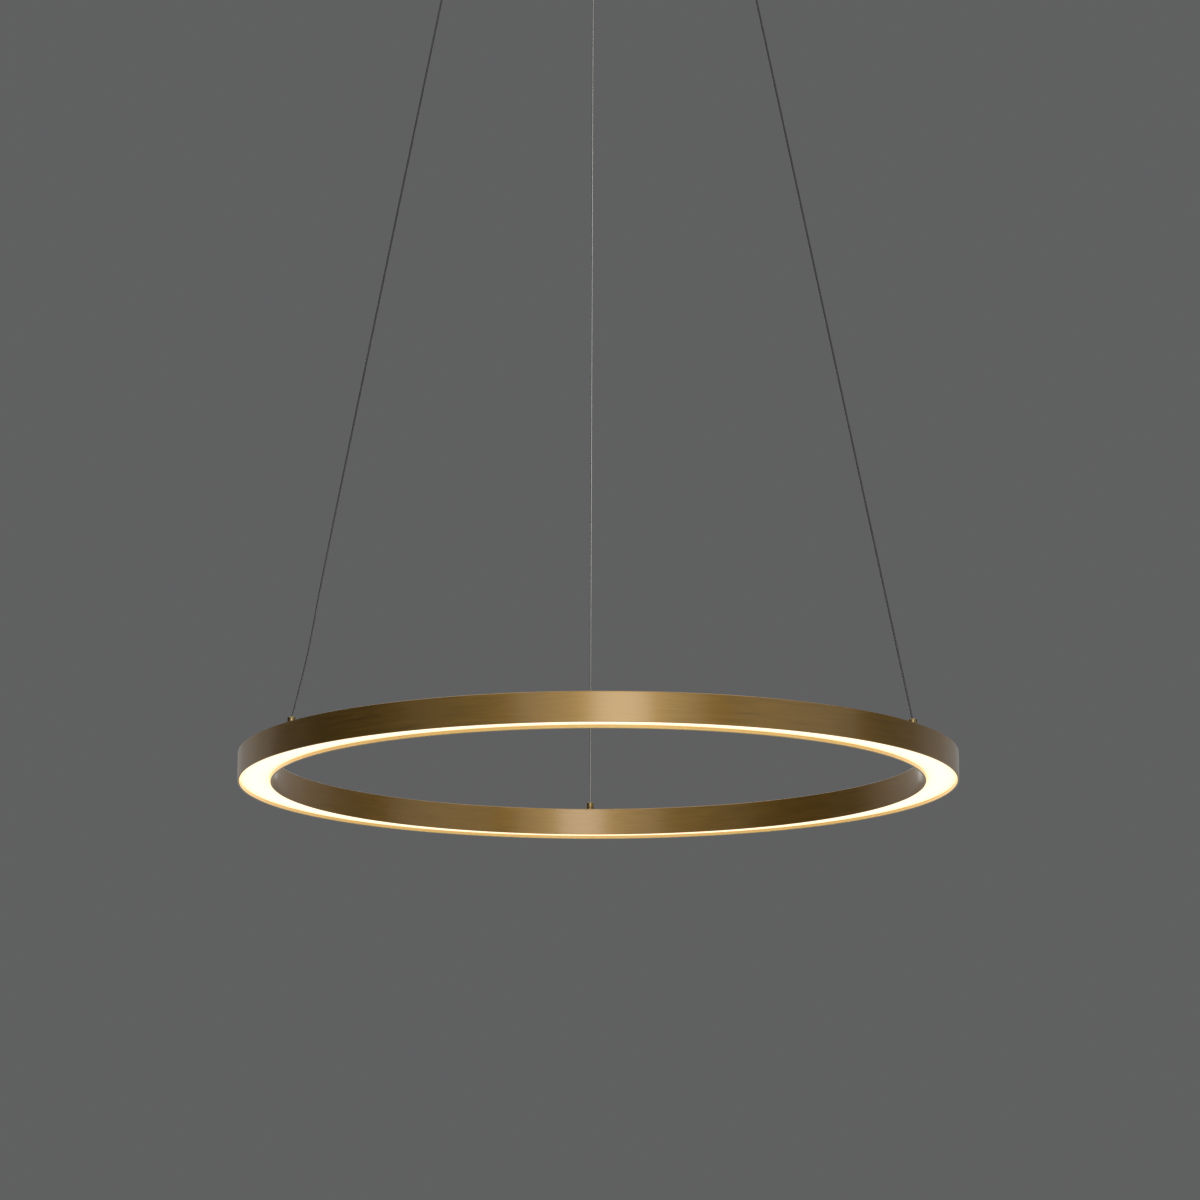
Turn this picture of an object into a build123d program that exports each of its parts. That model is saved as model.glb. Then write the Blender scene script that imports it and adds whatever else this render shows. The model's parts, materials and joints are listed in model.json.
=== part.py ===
from build123d import *
import math
import os

# A ring-shaped LED pendant light on three wires
# Millimetres, Z up, origin on the ceiling above the ring's centre

# Ring
ring_outer_radius = 300.0
ring_width = 28.7
ring_height = 23.5
ring_wall = 1.5
ring_web = 2.5
ring_edge_round = 0.5
hang_height = 977.0

# Diffuser, snapped over a rib on each wall of the ring
diffuser_recess = 2.7
diffuser_thickness = 2.0
diffuser_play = 0.15
rib_depth = 0.8
rib_height = 1.0
clip_thickness = 1.0
clip_barb = 0.6
clip_play = 0.1

# Suspension wires, spread evenly round the ring
hanger_count = 3
first_hanger_angle = 90.0
wire_radius = 0.9
wire_play = 0.2
crimp_play = 0.05
wire_bend_radius = 9.0
wire_straight_length = 2.0

# Nipples on top of the ring, each with an insulating bush, a washer, a nut and a crimped stop
nipple_radius = 3.5
nipple_height = 7.2
nipple_round = 0.6
nipple_stem_radius = 2.0
nipple_stem_play = 0.1
nipple_bush_flange = 0.8
nipple_bush_wall = 0.7
nipple_washer_radius = 4.3
nipple_washer_thickness = 0.8
nipple_nut_flats = 7.0
nipple_nut_height = 3.2
nipple_stem_over_nut = 0.8
stop_radius = 1.9
stop_length = 4.0

# LED boards, one between each two hangers
board_width = 14.0
board_thickness = 1.2
board_gap = 24.0
screws_per_board = 4
chips_per_screw = 10
chip_length = 3.5
chip_width = 2.8
chip_height = 0.7
board_screw_shank = 1.45
board_screw_head_radius = 2.6
board_screw_head_height = 1.7
board_screw_depth = 1.8
board_screw_play = 0.1
screw_slot_width = 0.7
screw_slot_depth = 0.6

# Wiring inside the ring
ring_lead_radius = 0.6
ring_lead_bend = 1.8
ring_lead_drop = 2.5
jumper_radius = 0.5
jumper_bend = 1.2
jumper_drop = 2.0
jumper_offset = 5.6
pad_inset = 2.0

# Canopy and ceiling plate
canopy_radius = 125.0
canopy_height = 34.0
canopy_sheet = 1.2
canopy_edge_round = 5.0
gripper_inset = 20.0
plate_rim_gap = 9.0
plate_thickness = 1.5
cable_hole_radius = 12.0
slot_spacing = 140.0
slot_length = 16.0
slot_width = 5.0
tab_width = 16.0
tab_drop = 16.0
tab_gap = 0.2
canopy_screw_drop = 9.0
canopy_screw_shank = 2.0
canopy_screw_play = 0.2
thread_play = 0.05
canopy_screw_length = 8.0
canopy_screw_head_radius = 3.5
canopy_screw_head_height = 2.2
canopy_screw_seat = 0.03

# Height grippers under the canopy
housing_radius = 6.0
housing_length = 20.0
housing_chamfer = 0.8
housing_grooves = 3
housing_groove_depth = 0.4
housing_groove_width = 0.6
housing_groove_pitch = 1.6
gripper_thread_radius = 4.0
gripper_bush_flange = 1.0
gripper_bush_wall = 0.9
gripper_bush_play = 0.1
gripper_washer_radius = 8.0
gripper_nut_flats = 13.0
gripper_nut_height = 4.0
stem_over_nut = 2.0
stem_in_housing = 6.0
plunger_radius = 2.5
plunger_play = 0.1
plunger_reach = 5.0
plunger_tip_round = 0.8
plunger_cap = 1.2
housing_mouth = 2.0
cone_angle = 10.0
balls_per_gripper = 3
ball_radius = 1.2
ball_play = 0.05
spring_radius = 2.1
spring_wire_radius = 0.25
spring_turns = 4
spring_play = 0.1
tail_gap = 0.8
tail_sleeve_length = 7.0
tail_sleeve_radius = 1.9

# LED driver, screwed to the underside of the ceiling plate
driver_length = 118.0
driver_width = 42.0
driver_wall = 1.6
driver_case_height = 15.0
driver_lid_height = 7.0
driver_corner_round = 2.0
lid_lip_height = 3.0
lid_lip_thickness = 1.2
lid_lip_play = 0.15
ear_length = 12.0
ear_width = 18.0
ear_thickness = 2.5
post_radius = 2.5
post_height = 4.0
post_pin_radius = 1.2
post_pin_length = 3.0
post_inset = 4.0
pin_play = 0.1
driver_board_margin = 0.8
driver_board_thickness = 1.6
transformer_length = 26.0
transformer_width = 20.0
transformer_height = 12.0
transformer_window = 5.0
transformer_x = -4.0
capacitor_radius = 5.0
capacitor_height = 12.0
capacitor_round = 0.8
capacitor_places = ((18.0, 8.0), (30.0, -6.0), (-26.0, -6.0))

# Terminal block, beside the cable hole
terminal_y = 62.0
terminal_length = 24.0
terminal_height = 15.0
terminal_pitch = 10.0
terminal_poles = 3
terminal_end = 7.0
terminal_ear = 8.0
terminal_screw_x = 7.0
terminal_screw_radius = 1.6
terminal_screw_length = 4.0
terminal_screw_play = 0.1
plate_screw_shank = 1.6
plate_screw_head_radius = 3.0
plate_screw_head_height = 2.0
plate_screw_short = 0.2

# Wiring inside the canopy
lead_radius = 1.0
lead_play = 0.25
lead_drop = 9.5
lead_inside = 4.0
live_x = -42.0
neutral_x = -49.0
output_x = 48.0
lead_turn = 12.0
lead_bend = 14.0
tail_lead_bend = 5.0
output_corner_y = 66.0
output_corner_x = 24.0
earth_screw_x = -38.0
earth_screw_shank = 2.0
earth_screw_head_radius = 3.5
earth_screw_head_height = 2.4
earth_tag_radius = 4.0
earth_tag_thickness = 0.8
earth_barrel_radius = 1.6
earth_barrel_length = 6.0
earth_bend = 5.0

# Places worked out from the sizes above
hanger_step = 360.0 / hanger_count
hanger_angles = [first_hanger_angle + i * hanger_step for i in range(hanger_count)]
ring_inner_radius = ring_outer_radius - ring_width
ring_middle_radius = ring_outer_radius - ring_width / 2
ring_bottom_z = -hang_height
ring_top_z = ring_bottom_z + ring_height
web_z = ring_top_z - ring_web
board_z = web_z - board_thickness
nipple_foot_z = ring_top_z + nipple_bush_flange
nipple_top_z = nipple_foot_z + nipple_height
nut_bottom_z = web_z - nipple_washer_thickness - nipple_nut_height
nipple_end_z = nut_bottom_z - nipple_stem_over_nut
stop_bottom_z = nipple_end_z - stop_length
wire_bore = wire_radius + wire_play
crimp_bore = wire_radius + crimp_play

exit_circle_radius = canopy_radius - gripper_inset
plate_radius = canopy_radius - plate_rim_gap
floor_z = -canopy_height
floor_top_z = floor_z + canopy_sheet
housing_top_z = floor_z - gripper_bush_flange
housing_bottom_z = housing_top_z - housing_length
plunger_tip_z = housing_bottom_z - plunger_reach
thread_bore = gripper_thread_radius + thread_play
stem_bottom_z = housing_top_z - stem_in_housing
gripper_washer_top_z = floor_top_z + gripper_bush_flange
stem_top_z = gripper_washer_top_z + gripper_nut_height + stem_over_nut
tail_low_z = stem_top_z + tail_gap
tail_top_z = tail_low_z + tail_sleeve_length
ball_circle = wire_radius + ball_play + ball_radius
cone_slope = math.tan(math.radians(cone_angle))
cone_low_z = housing_bottom_z + housing_mouth
cone_low_radius = plunger_radius + plunger_play
cone_at_ball = ball_circle + (ball_radius + ball_play) / math.cos(math.radians(cone_angle))
ball_z = cone_low_z + (cone_at_ball - cone_low_radius) / cone_slope
cone_top_z = cone_low_z + (thread_bore - cone_low_radius) / cone_slope
plunger_top_z = ball_z + ball_radius + plunger_cap

plate_z = -plate_thickness
tab_face = math.sqrt((canopy_radius - canopy_sheet - tab_gap) ** 2 - (tab_width / 2) ** 2)
driver_split_z = plate_z - driver_case_height
driver_bottom_z = driver_split_z - driver_lid_height
driver_y = exit_circle_radius * math.sin(math.radians(hanger_angles[-1]))
driver_side_y = driver_y + driver_width / 2
post_end_z = plate_z - driver_wall - post_height
driver_board_low_z = post_end_z - driver_board_thickness
terminal_width = (terminal_poles - 1) * terminal_pitch + 2 * terminal_end
pole_ys = [terminal_y + (i - (terminal_poles - 1) / 2) * terminal_pitch for i in range(terminal_poles)]
lead_z = plate_z - lead_drop

chips_per_board = screws_per_board * chips_per_screw
gap_angle = math.degrees(board_gap / ring_middle_radius)
board_span = hanger_step - gap_angle

STANDING = (Align.CENTER, Align.CENTER, Align.MIN)
HANGING = (Align.CENTER, Align.CENTER, Align.MAX)
TAB_CORNER = (Align.MAX, Align.CENTER, Align.MAX)


# Helpers


def rod(radius, low, high):
    """An upright cylinder about Z between two heights."""
    return Pos(0, 0, low) * Cylinder(radius, high - low, align=STANDING)


def tube(outer, inner, low, high):
    """An upright tube about Z between two heights."""
    return rod(outer, low, high) - rod(inner, low, high)


def turned(*corners):
    """A turned piece about Z from the (radius, height) corners of its section."""
    outline = Polyline(*[(radius, 0, z) for radius, z in corners], close=True)
    return revolve(make_face(outline), Axis.Z)


def strip(left, right, low, high):
    """A rectangle of a ring's section, between two radii and two heights."""
    return Pos(left, low) * Rectangle(right - left, high - low, align=(Align.MIN, Align.MIN))


def block(length, width, low, high):
    """An upright box about Z between two heights."""
    return Pos(0, 0, low) * Box(length, width, high - low, align=STANDING)


def nut(flats, bore, low, high):
    """A hexagon nut about Z between two heights."""
    hexagon = RegularPolygon(flats / 2, 6, major_radius=False)
    return Pos(0, 0, low) * extrude(hexagon, high - low) - rod(bore, low, high)


def around(angle, radius):
    """The place at this angle and radius, with its own X pointing outwards."""
    return Rot(0, 0, angle) * Pos(radius, 0, 0)


def wire_along(points, bends, radius):
    """A round wire along straight runs joined by tangent arcs."""
    path = FilletPolyline(*points, radius=bends)
    section = Plane(origin=path @ 0, z_dir=path % 0) * Circle(radius)
    return sweep(section, path=path), path


def hanging_screw(shank, head_radius, head_height, seat_z, end_z):
    """A slotted screw driven upwards, its head under the seat."""
    head = rod(head_radius, seat_z - head_height, seat_z)
    low = seat_z - head_height
    slot = block(2 * head_radius, screw_slot_width, low, low + screw_slot_depth)
    return head + rod(shank, seat_z, end_z) - slot


def save(name, *pieces):
    """Write the solids of one node to its own file."""
    solids = [solid for piece in pieces for solid in piece.solids()]
    export_step(Compound(solids), f"parts/{name}.step")


# Ring


def board_screw_angles(board):
    """The angles of one board's screws, each midway between two chips."""
    start = hanger_angles[board] + gap_angle / 2
    return [start + board_span * (i + 0.5) / screws_per_board for i in range(screws_per_board)]


def all_board_screw_angles():
    return [angle for board in range(hanger_count) for angle in board_screw_angles(board)]


def ring_channel():
    """The U-section of the ring, with a rib on each wall and holes for the nipples and the board screws."""
    left, right = ring_inner_radius, ring_outer_radius
    rib_low = diffuser_recess + diffuser_thickness + clip_play
    rib_high = rib_low + rib_height
    section = strip(left, right, 0, ring_height)
    section -= strip(left + ring_wall, right - ring_wall, 0, ring_height - ring_web)
    section += strip(left + ring_wall, left + ring_wall + rib_depth, rib_low, rib_high)
    section += strip(right - ring_wall - rib_depth, right - ring_wall, rib_low, rib_high)
    section = fillet(section.vertices().sort_by(Axis.Y)[-2:], ring_edge_round)
    ring = Pos(0, 0, ring_bottom_z) * revolve(Plane.XZ * section, Axis.Z)
    hole = nipple_stem_radius + 2 * nipple_stem_play + nipple_bush_wall
    for angle in hanger_angles:
        ring -= around(angle, ring_middle_radius) * rod(hole, web_z, ring_top_z)
    screw_hole_top = web_z + board_screw_depth + board_screw_play
    screw_hole = rod(board_screw_shank + thread_play, web_z, screw_hole_top)
    for angle in all_board_screw_angles():
        ring -= around(angle, ring_middle_radius) * screw_hole
    return ring


def diffuser():
    """The opal ring, with a barbed clip along each edge that hooks over the wall's rib."""
    left = ring_inner_radius + ring_wall
    right = ring_outer_radius - ring_wall
    low = diffuser_recess
    high = low + diffuser_thickness
    barb_low = high + clip_play + rib_height + clip_play
    barb_high = barb_low + clip_thickness
    clip_left = left + rib_depth + diffuser_play
    clip_right = right - rib_depth - diffuser_play
    section = strip(left + diffuser_play, right - diffuser_play, low, high)
    section += strip(clip_left, clip_left + clip_thickness, high, barb_high)
    section += strip(clip_right - clip_thickness, clip_right, high, barb_high)
    section += strip(clip_left - clip_barb, clip_left, barb_low, barb_high)
    section += strip(clip_right, clip_right + clip_barb, barb_low, barb_high)
    return Pos(0, 0, ring_bottom_z) * revolve(Plane.XZ * section, Axis.Z)


def led_board(board):
    """One curved board under the web, between two hangers."""
    half = board_width / 2
    section = strip(ring_middle_radius - half, ring_middle_radius + half, board_z, web_z)
    arc = revolve(Plane.XZ * section, Axis.Z, revolution_arc=board_span)
    arc = Rot(0, 0, hanger_angles[board] + gap_angle / 2) * arc
    screw_hole = rod(board_screw_shank + board_screw_play, board_z, web_z)
    for angle in board_screw_angles(board):
        arc -= around(angle, ring_middle_radius) * screw_hole
    return arc


def led_chips():
    """Every light source, evenly spaced along the boards."""
    chip = block(chip_width, chip_length, board_z - chip_height, board_z)
    places = []
    for board in range(hanger_count):
        start = hanger_angles[board] + gap_angle / 2
        for i in range(chips_per_board):
            places.append(start + board_span * (i + 0.5) / chips_per_board)
    return [around(angle, ring_middle_radius) * chip for angle in places]


def board_screws():
    screw = hanging_screw(board_screw_shank, board_screw_head_radius, board_screw_head_height,
                          board_z, web_z + board_screw_depth)
    return [around(angle, ring_middle_radius) * screw for angle in all_board_screw_angles()]


def wire_nipple():
    """A turned nipple with a threaded stem and a bore for the wire."""
    head = rod(nipple_radius, nipple_foot_z, nipple_top_z)
    head = fillet(head.edges().sort_by(Axis.Z)[-1:], nipple_round)
    stem = rod(nipple_stem_radius, nipple_end_z, nipple_foot_z)
    return head + stem - rod(wire_bore, nipple_end_z, nipple_top_z)


def nipple_bush():
    """A top-hat bush between the nipple and the ring."""
    inner = nipple_stem_radius + nipple_stem_play
    flange = tube(nipple_radius, inner, ring_top_z, nipple_foot_z)
    return flange + tube(inner + nipple_bush_wall, inner, web_z, ring_top_z)


def nipple_washer():
    inner = nipple_stem_radius + nipple_stem_play
    return tube(nipple_washer_radius, inner, web_z - nipple_washer_thickness, web_z)


def nipple_nut():
    high = web_z - nipple_washer_thickness
    return nut(nipple_nut_flats, nipple_stem_radius + thread_play, nut_bottom_z, high)


def wire_stop():
    """The sleeve crimped on the wire's lower end, under the nipple's stem."""
    return tube(stop_radius, crimp_bore, stop_bottom_z, nipple_end_z)


def feed_lead():
    """The lead from a wire's stop to the end of the next board."""
    run_z = stop_bottom_z - ring_lead_drop
    pad = board_gap / 2 + pad_inset
    points = [(0, 0, stop_bottom_z), (0, 0, run_z), (0, pad, run_z), (0, pad, board_z)]
    return wire_along(points, ring_lead_bend, ring_lead_radius)[0]


def board_jumper(offset):
    """A lead that joins two boards across the gap at a hanger."""
    run_z = board_z - jumper_drop
    pad = board_gap / 2 + pad_inset
    points = [(offset, -pad, board_z), (offset, -pad, run_z), (offset, pad, run_z), (offset, pad, board_z)]
    return wire_along(points, jumper_bend, jumper_radius)[0]


# Suspension


def suspension_wire():
    """One wire in its own upright plane, from its gripper out to the ring and down into its nipple."""
    points = [
        (exit_circle_radius, 0, tail_top_z),
        (exit_circle_radius, 0, plunger_tip_z - wire_straight_length),
        (ring_middle_radius, 0, nipple_top_z + wire_straight_length),
        (ring_middle_radius, 0, stop_bottom_z),
    ]
    wire, path = wire_along(points, wire_bend_radius, wire_radius)
    share = wire.volume / (math.pi * wire_radius**2 * path.length)
    print(f"suspension wire: {path.length:.1f} mm, volume share {share:.4f}")
    print(f"suspension wire: bend radius {wire_bend_radius:.1f} mm")
    return wire


def gripper_housing():
    """The turned housing: a mouth for the plunger, a cone for the balls and a thread for the stem."""
    outer, edge = housing_radius, housing_chamfer
    housing = turned(
        (cone_low_radius, housing_bottom_z),
        (outer - edge, housing_bottom_z),
        (outer, housing_bottom_z + edge),
        (outer, housing_top_z),
        (thread_bore, housing_top_z),
        (thread_bore, cone_top_z),
        (cone_low_radius, cone_low_z),
    )
    for i in range(housing_grooves):
        low = housing_bottom_z + housing_mouth + (i + 1) * housing_groove_pitch
        housing -= tube(outer + edge, outer - housing_groove_depth, low, low + housing_groove_width)
    return housing


def gripper_stem():
    return tube(gripper_thread_radius, wire_bore, stem_bottom_z, stem_top_z)


def gripper_bush():
    """A top-hat bush in the canopy's floor."""
    inner = gripper_thread_radius + gripper_bush_play
    flange = tube(housing_radius, inner, housing_top_z, floor_z)
    return flange + tube(inner + gripper_bush_wall, inner, floor_z, floor_top_z)


def gripper_washer():
    inner = gripper_thread_radius + gripper_bush_play
    return tube(gripper_washer_radius, inner, floor_top_z, gripper_washer_top_z)


def gripper_nut():
    low = gripper_washer_top_z
    return nut(gripper_nut_flats, thread_bore, low, low + gripper_nut_height)


def gripper_plunger():
    """The release plunger: a tube with a rounded tip and a pocket for each ball."""
    plunger = rod(plunger_radius, plunger_tip_z, plunger_top_z)
    plunger = fillet(plunger.edges().sort_by(Axis.Z)[:1], plunger_tip_round)
    plunger -= rod(wire_bore, plunger_tip_z, plunger_top_z)
    for i in range(balls_per_gripper):
        pocket = Rot(0, 90, 0) * Cylinder(ball_radius + ball_play, 2 * plunger_radius, align=STANDING)
        plunger -= Rot(0, 0, i * 360 / balls_per_gripper) * Pos(0, 0, ball_z) * pocket
    return plunger


def gripper_balls():
    return [around(i * 360 / balls_per_gripper, ball_circle) * Pos(0, 0, ball_z) * Sphere(ball_radius)
            for i in range(balls_per_gripper)]


def arc_pair(start, start_way, end, end_way):
    """Two tangent arcs that leave start and reach end in the given directions."""
    chord = end - start
    ways = start_way + end_way
    bend = 2 * (1 - start_way.dot(end_way))
    reach = chord.dot(ways)
    arm = (math.sqrt(reach**2 + bend * chord.dot(chord)) - reach) / bend
    middle = (start + end + (start_way - end_way) * arm) * 0.5
    middle_way = (end - end_way * arm) - (start + start_way * arm)
    first = TangentArc(start, middle, tangent=start_way)
    return [first, TangentArc(middle, end, tangent=middle_way.normalized())]


def gripper_spring():
    """The return spring between the plunger and the stem, a coil of quarter turns."""
    low = plunger_top_z + spring_wire_radius + spring_play
    high = stem_bottom_z - spring_wire_radius - spring_play
    quarters = 4 * spring_turns
    pitch = (high - low) / spring_turns

    def point(i):
        angle = i * math.pi / 2
        return Vector(spring_radius * math.cos(angle), spring_radius * math.sin(angle), low + pitch * i / 4)

    def way(i):
        angle = i * math.pi / 2
        climb = pitch / (2 * math.pi)
        return Vector(-spring_radius * math.sin(angle), spring_radius * math.cos(angle), climb).normalized()

    arcs = []
    for i in range(quarters):
        arcs += arc_pair(point(i), way(i), point(i + 1), way(i + 1))
    path = Wire([arc.edge() for arc in arcs])
    section = Plane(origin=point(0), z_dir=way(0)) * Circle(spring_wire_radius)
    print(f"gripper spring: gap between turns {pitch - 2 * spring_wire_radius:.2f} mm")
    return sweep(section, path=path)


def tail_sleeve():
    """The sleeve crimped on the wire's upper end, inside the canopy."""
    return tube(tail_sleeve_radius, crimp_bore, tail_low_z, tail_top_z)


# Canopy


def tab_angles():
    """The tabs stand midway between the hangers."""
    return [angle + hanger_step / 2 for angle in hanger_angles]


def canopy_cover():
    """The spun cup, with a hole for each gripper and each side screw."""
    inner = canopy_radius - canopy_sheet
    section = strip(0, canopy_radius, floor_z, 0) - strip(0, inner, floor_top_z, 0)
    corner = section.vertices().sort_by_distance((canopy_radius, floor_z))[0]
    section = fillet(corner, canopy_edge_round)
    corner = section.vertices().sort_by_distance((inner, floor_top_z))[0]
    section = fillet(corner, canopy_edge_round - canopy_sheet)
    cover = revolve(Plane.XZ * section, Axis.Z)
    hole = gripper_thread_radius + 2 * gripper_bush_play + gripper_bush_wall
    for angle in hanger_angles:
        cover -= around(angle, exit_circle_radius) * rod(hole, floor_z, floor_top_z)
    side_hole = Rot(0, 90, 0) * Cylinder(canopy_screw_shank + canopy_screw_play, canopy_edge_round)
    for angle in tab_angles():
        cover -= around(angle, canopy_radius) * Pos(0, 0, -canopy_screw_drop) * side_hole
    return cover


def plate_screw_places():
    """The driver's two ears and the terminal block's two ears."""
    ear_x = driver_length / 2 + ear_length / 2
    ear_y = terminal_width / 2 + terminal_ear / 2
    return [(-ear_x, driver_y), (ear_x, driver_y), (0, terminal_y - ear_y), (0, terminal_y + ear_y)]


def ceiling_plate():
    """The round plate with its slots, cable hole, screw holes and three turned-down tabs."""
    plate = rod(plate_radius, plate_z, 0) - rod(cable_hole_radius, plate_z, 0)
    slot = Pos(0, 0, plate_z) * extrude(SlotOverall(slot_length, slot_width), plate_thickness)
    for side in (-1, 1):
        plate -= Pos(side * slot_spacing / 2, 0, 0) * slot
    reach = tab_face - plate_radius + tab_width
    arm = Pos(tab_face, 0, 0) * Box(reach, tab_width, plate_thickness, align=TAB_CORNER)
    drop = Pos(tab_face, 0, 0) * Box(plate_thickness, tab_width, tab_drop, align=TAB_CORNER)
    thread = Rot(0, 90, 0) * Cylinder(canopy_screw_shank + thread_play, 4 * plate_thickness)
    tab = arm + drop - Pos(tab_face, 0, -canopy_screw_drop) * thread
    for angle in tab_angles():
        plate += Rot(0, 0, angle) * tab
    for x, y in plate_screw_places():
        plate -= Pos(x, y, 0) * rod(plate_screw_shank + thread_play, plate_z, 0)
    plate -= Pos(earth_screw_x, pole_ys[-1], 0) * rod(earth_screw_shank + thread_play, plate_z, 0)
    return plate


def canopy_screw():
    """A side screw, its head outside the cover and its shank in the tab."""
    head = Cylinder(canopy_screw_head_radius, canopy_screw_head_height, align=STANDING)
    head = fillet(head.edges().sort_by(Axis.Z)[-1:], canopy_screw_head_height / 2)
    slot = Pos(0, 0, canopy_screw_head_height) * Box(
        2 * canopy_screw_head_radius, screw_slot_width, 2 * screw_slot_depth)
    screw = head + Cylinder(canopy_screw_shank, canopy_screw_length, align=HANGING) - slot
    return Pos(canopy_radius + canopy_screw_seat, 0, -canopy_screw_drop) * Rot(0, 90, 0) * screw


# Driver


def rounded_block(length, width, low, high, radius):
    """An upright box with rounded vertical edges."""
    return extrude(Pos(0, 0, low) * RectangleRounded(length, width, radius), high - low)


def post_places():
    x = driver_length / 2 - driver_wall - driver_board_margin - post_inset
    y = driver_width / 2 - driver_wall - driver_board_margin - post_inset
    return [(i * x, j * y) for i in (-1, 1) for j in (-1, 1)]


def driver_case():
    """The upper shell, against the plate, with two ears, four posts and its lead holes."""
    inner_length = driver_length - 2 * driver_wall
    inner_width = driver_width - 2 * driver_wall
    inner_round = driver_corner_round - driver_wall / 2
    case = rounded_block(driver_length, driver_width, driver_split_z, plate_z, driver_corner_round)
    case -= rounded_block(inner_length, inner_width, driver_split_z, plate_z - driver_wall, inner_round)
    for side in (-1, 1):
        ear = Box(ear_length, ear_width, ear_thickness, align=HANGING)
        ear -= Cylinder(plate_screw_shank + 2 * thread_play, ear_thickness, align=HANGING)
        case += Pos(side * (driver_length + ear_length) / 2, 0, plate_z) * ear
    for x, y in post_places():
        post = rod(post_radius, post_end_z, plate_z - driver_wall)
        post += rod(post_pin_radius, post_end_z - post_pin_length, post_end_z)
        case += Pos(x, y, 0) * post
    case = Pos(0, driver_y, 0) * case
    hole = lead_radius + lead_play
    for x in (live_x, neutral_x, output_x):
        case -= Pos(x, driver_side_y, lead_z) * Rot(90, 0, 0) * Cylinder(hole, 4 * driver_wall)
    end_hole = Rot(0, 90, 0) * Cylinder(hole, 4 * driver_wall)
    case -= Pos(driver_length / 2, feed_place().Y, lead_z) * end_hole
    return case


def driver_lid():
    """The lower shell, with a lip that fits inside the case."""
    inner_length = driver_length - 2 * driver_wall
    inner_width = driver_width - 2 * driver_wall
    inner_round = driver_corner_round - driver_wall / 2
    lip_low = driver_bottom_z + driver_wall
    lid = rounded_block(driver_length, driver_width, driver_bottom_z, driver_split_z, driver_corner_round)
    lid -= rounded_block(inner_length, inner_width, lip_low, driver_split_z, inner_round)
    lip_high = driver_split_z + lid_lip_height
    lip_length = inner_length - 2 * lid_lip_play
    lip_width = inner_width - 2 * lid_lip_play
    lip = rounded_block(lip_length, lip_width, driver_split_z, lip_high, inner_round)
    lip += rounded_block(inner_length, inner_width, lip_low, driver_split_z, inner_round)
    lip -= block(lip_length - 2 * lid_lip_thickness, lip_width - 2 * lid_lip_thickness, lip_low, lip_high)
    return Pos(0, driver_y, 0) * (lid + lip)


def driver_board():
    """The circuit board, on the pins of the case's posts."""
    length = driver_length - 2 * driver_wall - 2 * driver_board_margin
    width = driver_width - 2 * driver_wall - 2 * driver_board_margin
    board = block(length, width, driver_board_low_z, post_end_z)
    for x, y in post_places():
        board -= Pos(x, y, 0) * rod(post_pin_radius + pin_play, driver_board_low_z, post_end_z)
    return Pos(0, driver_y, 0) * board


def driver_transformer():
    """A wound bobbin in a square core, under the board."""
    low = driver_board_low_z - transformer_height
    core = block(transformer_length, transformer_width, low, driver_board_low_z)
    for side in (-1, 1):
        middle = side * (transformer_length - transformer_window) / 4
        window = block(transformer_window, transformer_width / 2, low, driver_board_low_z)
        core -= Pos(middle, 0, 0) * window
    return Pos(transformer_x, driver_y, 0) * core


def driver_capacitors():
    can = Cylinder(capacitor_radius, capacitor_height, align=HANGING)
    can = fillet(can.edges().sort_by(Axis.Z)[:1], capacitor_round)
    return [Pos(x, driver_y + y, driver_board_low_z) * can for x, y in capacitor_places]


# Terminal block and wiring in the canopy


def terminal_block():
    """Three poles side by side on a base with two ears."""
    low = plate_z - terminal_height
    body = block(terminal_length, terminal_width, low, plate_z)
    base = block(terminal_length, terminal_width + 2 * terminal_ear, plate_z - ear_thickness, plate_z)
    piece = Pos(0, terminal_y, 0) * (body + base)
    for y in pole_ys:
        piece -= Pos(0, y, lead_z) * Rot(0, 90, 0) * Cylinder(lead_radius + lead_play, terminal_length)
        for side in (-1, 1):
            place = Pos(side * terminal_screw_x, y, 0)
            piece -= place * rod(terminal_screw_radius + terminal_screw_play, low, lead_z)
    for x, y in plate_screw_places()[2:]:
        piece -= Pos(x, y, 0) * rod(plate_screw_shank + 2 * thread_play, plate_z - ear_thickness, plate_z)
    return piece


def terminal_screws():
    high = lead_z - lead_radius - terminal_screw_play
    low = high - terminal_screw_length
    screw = rod(terminal_screw_radius, low, high)
    screw -= block(2 * terminal_screw_radius, screw_slot_width, low, low + screw_slot_depth)
    return [Pos(side * terminal_screw_x, y, 0) * screw for y in pole_ys for side in (-1, 1)]


def plate_screws():
    screw = hanging_screw(plate_screw_shank, plate_screw_head_radius, plate_screw_head_height,
                          plate_z - ear_thickness, -plate_screw_short)
    return [Pos(x, y, 0) * screw for x, y in plate_screw_places()]


def exit_place(hanger):
    """Where a wire's tail stands in the canopy."""
    angle = math.radians(hanger_angles[hanger])
    return Vector(exit_circle_radius * math.cos(angle), exit_circle_radius * math.sin(angle), tail_top_z)


def return_place():
    """The first wire carries the return."""
    return exit_place(0)


def feed_place():
    """The last wire carries the feed."""
    return exit_place(hanger_count - 1)


def mains_leads():
    """Live and neutral, from the terminal block round the cable hole to the driver."""
    leads = []
    for x, y in zip((live_x, neutral_x), pole_ys):
        points = [
            (-terminal_screw_x, y, lead_z),
            (x + lead_turn, y, lead_z),
            (x, y - lead_turn, lead_z),
            (x, driver_side_y - lead_inside, lead_z),
        ]
        leads.append(wire_along(points, lead_bend, lead_radius)[0])
    return leads


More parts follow.
